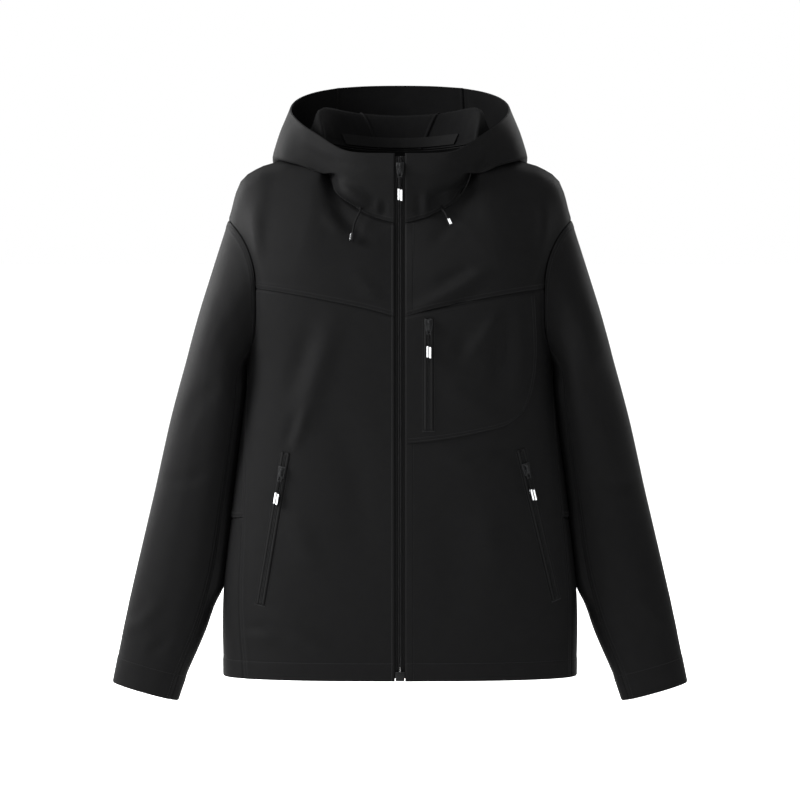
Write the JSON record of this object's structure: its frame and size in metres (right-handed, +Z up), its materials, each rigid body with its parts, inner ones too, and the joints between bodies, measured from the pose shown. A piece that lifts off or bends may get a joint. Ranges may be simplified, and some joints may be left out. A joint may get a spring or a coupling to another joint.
{
  "type": "softshell jacket",
  "caption": "Black hooded softshell jacket, zipped up and filled out, with a lowered hood, drawcords, a zipped chest pocket and slanted zipped hand pockets.",
  "frame": {"origin": "middle of the neck, level with the tops of the shoulders, where the wearer holds the jacket", "axes": "+Z up, -Y out of the front, +X towards the wearer's left"},
  "size_m": [0.806, 0.2848, 0.8632],
  "materials": {
    "softshell": "matte",
    "tape": "matte",
    "coil": "satin",
    "metal": "satin",
    "grip": "satin",
    "cord": "matte"
  },
  "bodies": {
    "jacket": {"front_left": "softshell", "front_right": "softshell", "yoke_left": "softshell", "yoke_right": "softshell", "side_lower_left": "softshell", "side_lower_right": "softshell", "side_upper_left": "softshell", "side_upper_right": "softshell", "back": "softshell", "sleeve_under_left": "softshell", "sleeve_under_right": "softshell", "sleeve_upper_left": "softshell", "sleeve_upper_right": "softshell", "hood_side_left": "softshell", "hood_side_right": "softshell", "hood_centre": "softshell", "chest_pocket": "softshell", "neck_tape": "tape", "zip_chain": "coil", "zip_tape_left": "tape", "zip_tape_right": "tape", "zip_box": "metal", "main_slider": "metal", "chest_zip": "tape", "chest_slider": "metal", "pocket_zip_left": "tape", "pocket_slider_left": "metal", "pocket_zip_right": "tape", "pocket_slider_right": "metal", "cord_left": "cord", "cord_tip_left": "grip", "cord_right": "cord", "cord_tip_right": "grip"},
    "main_pull": {"main_tab": "metal", "main_grip": "grip"},
    "chest_pull": {"chest_tab": "metal", "chest_grip": "grip"},
    "pocket_pull_left": {"pocket_tab_left": "metal", "pocket_grip_left": "grip"},
    "pocket_pull_right": {"pocket_tab_right": "metal", "pocket_grip_right": "grip"}
  },
  "joints": [
    {"name": "main_pull_swing", "type": "hinge", "parent": "jacket", "child": "main_pull", "pos_m": [0, -0.09258, -0.00622], "axis": [-1, 0, 0], "range_deg": [0, 120]},
    {"name": "chest_pull_swing", "type": "hinge", "parent": "jacket", "child": "chest_pull", "pos_m": [0.03962, -0.11321, -0.22181], "axis": [-0.9999, -0.0164, 0], "range_deg": [0, 120]},
    {"name": "pocket_pull_left_swing", "type": "hinge", "parent": "jacket", "child": "pocket_pull_left", "pos_m": [0.17616, -0.08251, -0.42191], "axis": [-0.8873, -0.3861, -0.2523], "range_deg": [0, 120]},
    {"name": "pocket_pull_right_swing", "type": "hinge", "parent": "jacket", "child": "pocket_pull_right", "pos_m": [-0.16488, -0.08693, -0.42624], "axis": [-0.9269, 0.3286, 0.1812], "range_deg": [0, 120]}
  ]
}
